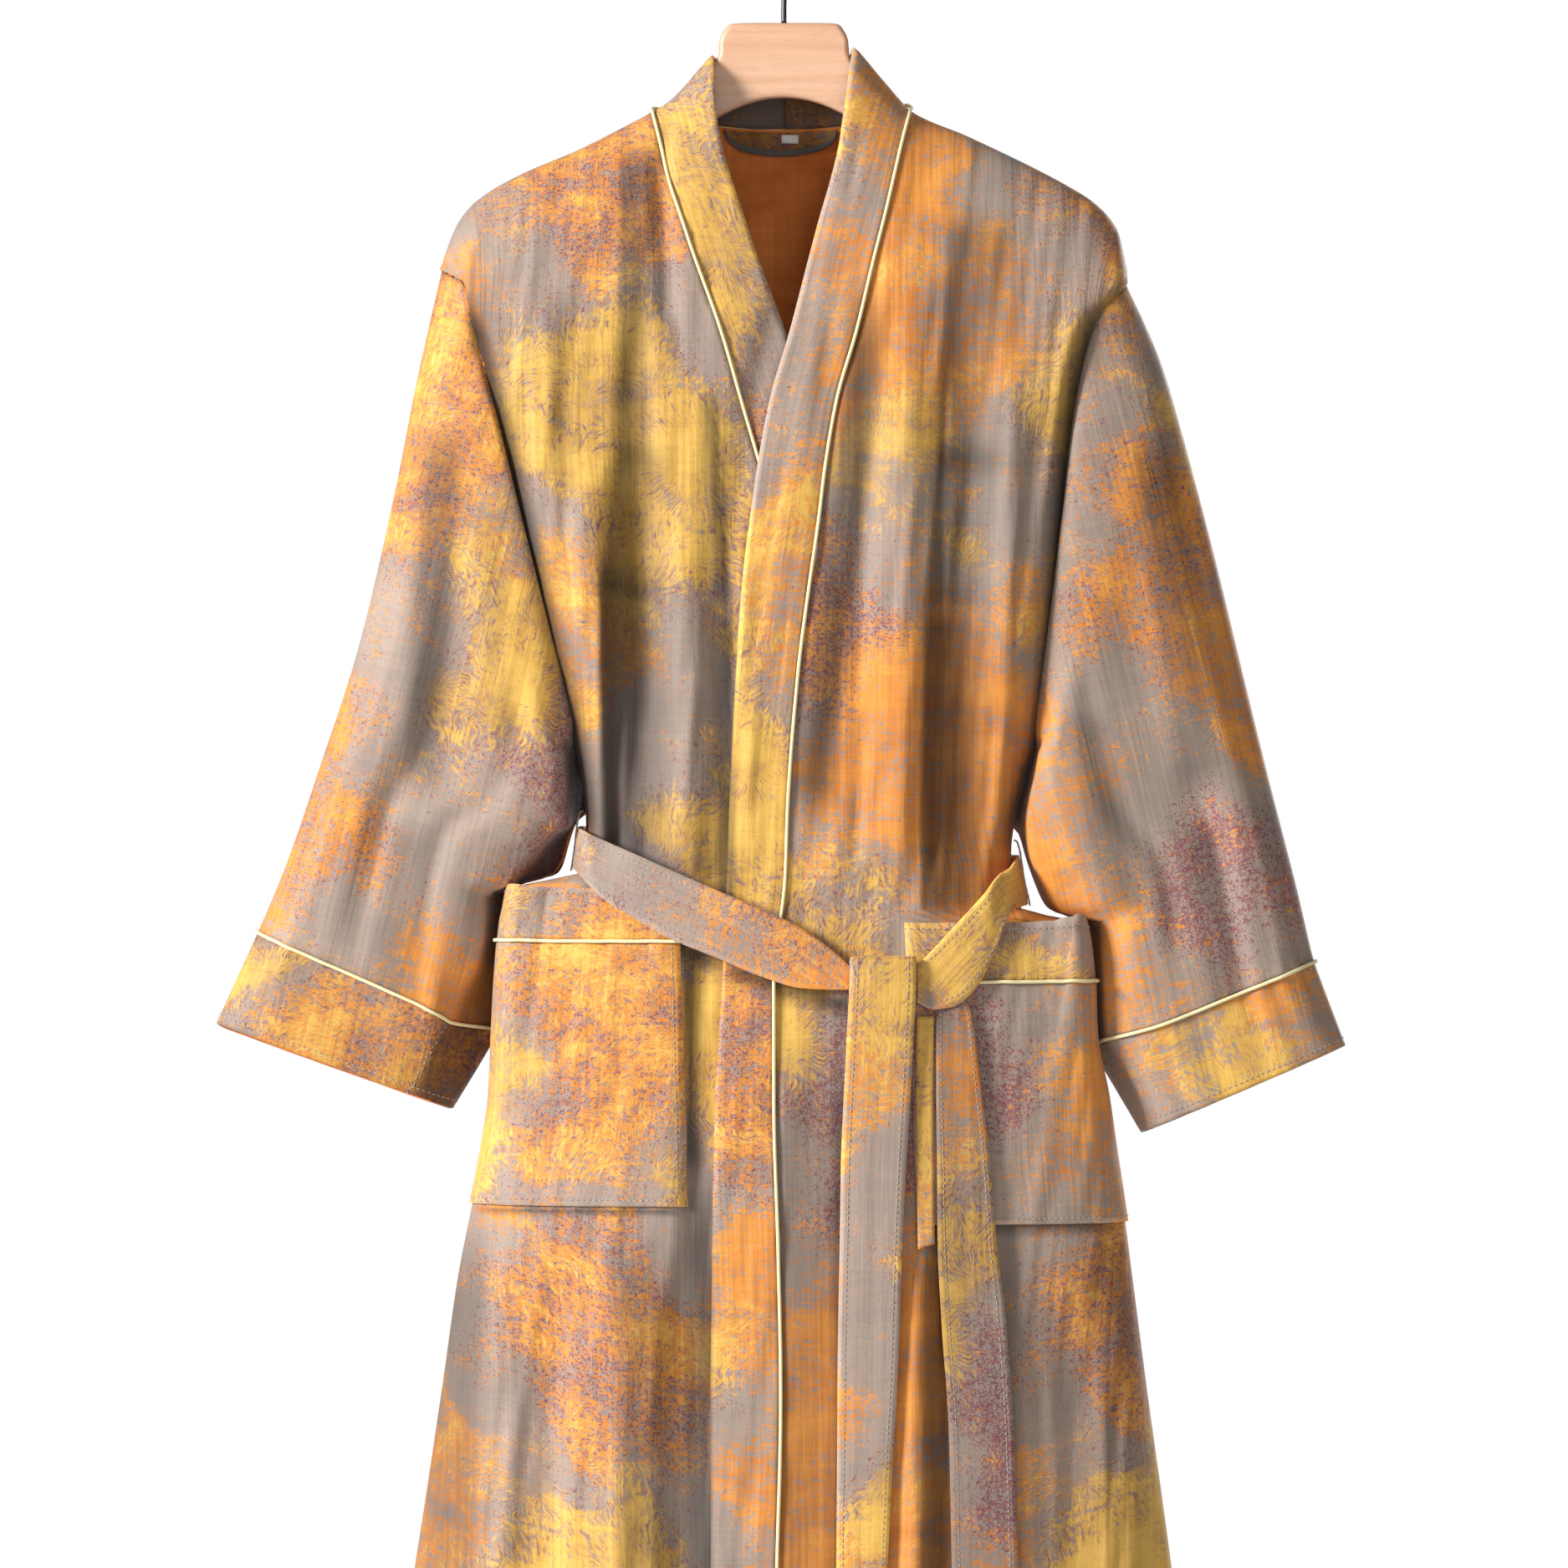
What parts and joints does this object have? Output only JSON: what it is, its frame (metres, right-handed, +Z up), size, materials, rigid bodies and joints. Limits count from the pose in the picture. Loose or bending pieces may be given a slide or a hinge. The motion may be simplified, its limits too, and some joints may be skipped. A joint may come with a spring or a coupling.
{
  "type": "kimono bathrobe on a wooden hanger",
  "caption": "Kimono bathrobe with a band collar, wide sleeves, patch pockets and a tied belt, hanging on a wooden hanger.",
  "frame": {"origin": "the point inside the top of the hook's bend, where a rail holds it", "axes": "+Z up along the hanger's shank, -Y is the front of the robe, +X is the wearer's left side"},
  "size_m": [0.81, 0.1645, 1.3432],
  "materials": {
    "jacquard": "patterned cotton jacquard, soft sheen",
    "piping_cotton": "cream cotton cord",
    "binding_tape": "grey woven tape",
    "label_satin": "plain white satin, blank",
    "thread": "twisted thread",
    "beech": "pale pinkish beech, satin, bare",
    "steel": "dark steel"
  },
  "bodies": {
    "root": {"back": "jacquard", "front_right": "jacquard", "front_left": "jacquard", "sleeve_right": "jacquard", "sleeve_left": "jacquard", "cuff_right": "jacquard", "cuff_left": "jacquard", "collar_right": "jacquard", "collar_left": "jacquard", "pocket_right": "jacquard", "pocket_left": "jacquard", "pocket_band_right": "jacquard", "pocket_band_left": "jacquard", "neck_facing": "jacquard", "belt_wrap": "jacquard", "belt_knot": "jacquard", "belt_tail_main": "jacquard", "belt_tail_second": "jacquard", "inner_tie": "jacquard", "piping_collar": "piping_cotton", "piping_cuff_right": "piping_cotton", "piping_cuff_left": "piping_cotton", "piping_pocket_right": "piping_cotton", "piping_pocket_left": "piping_cotton", "facing_binding": "binding_tape", "neck_label": "label_satin", "belt_loop_right": "thread", "belt_loop_left": "thread", "hanger_body": "beech", "hanger_hook": "steel"}
  },
  "joints": []
}
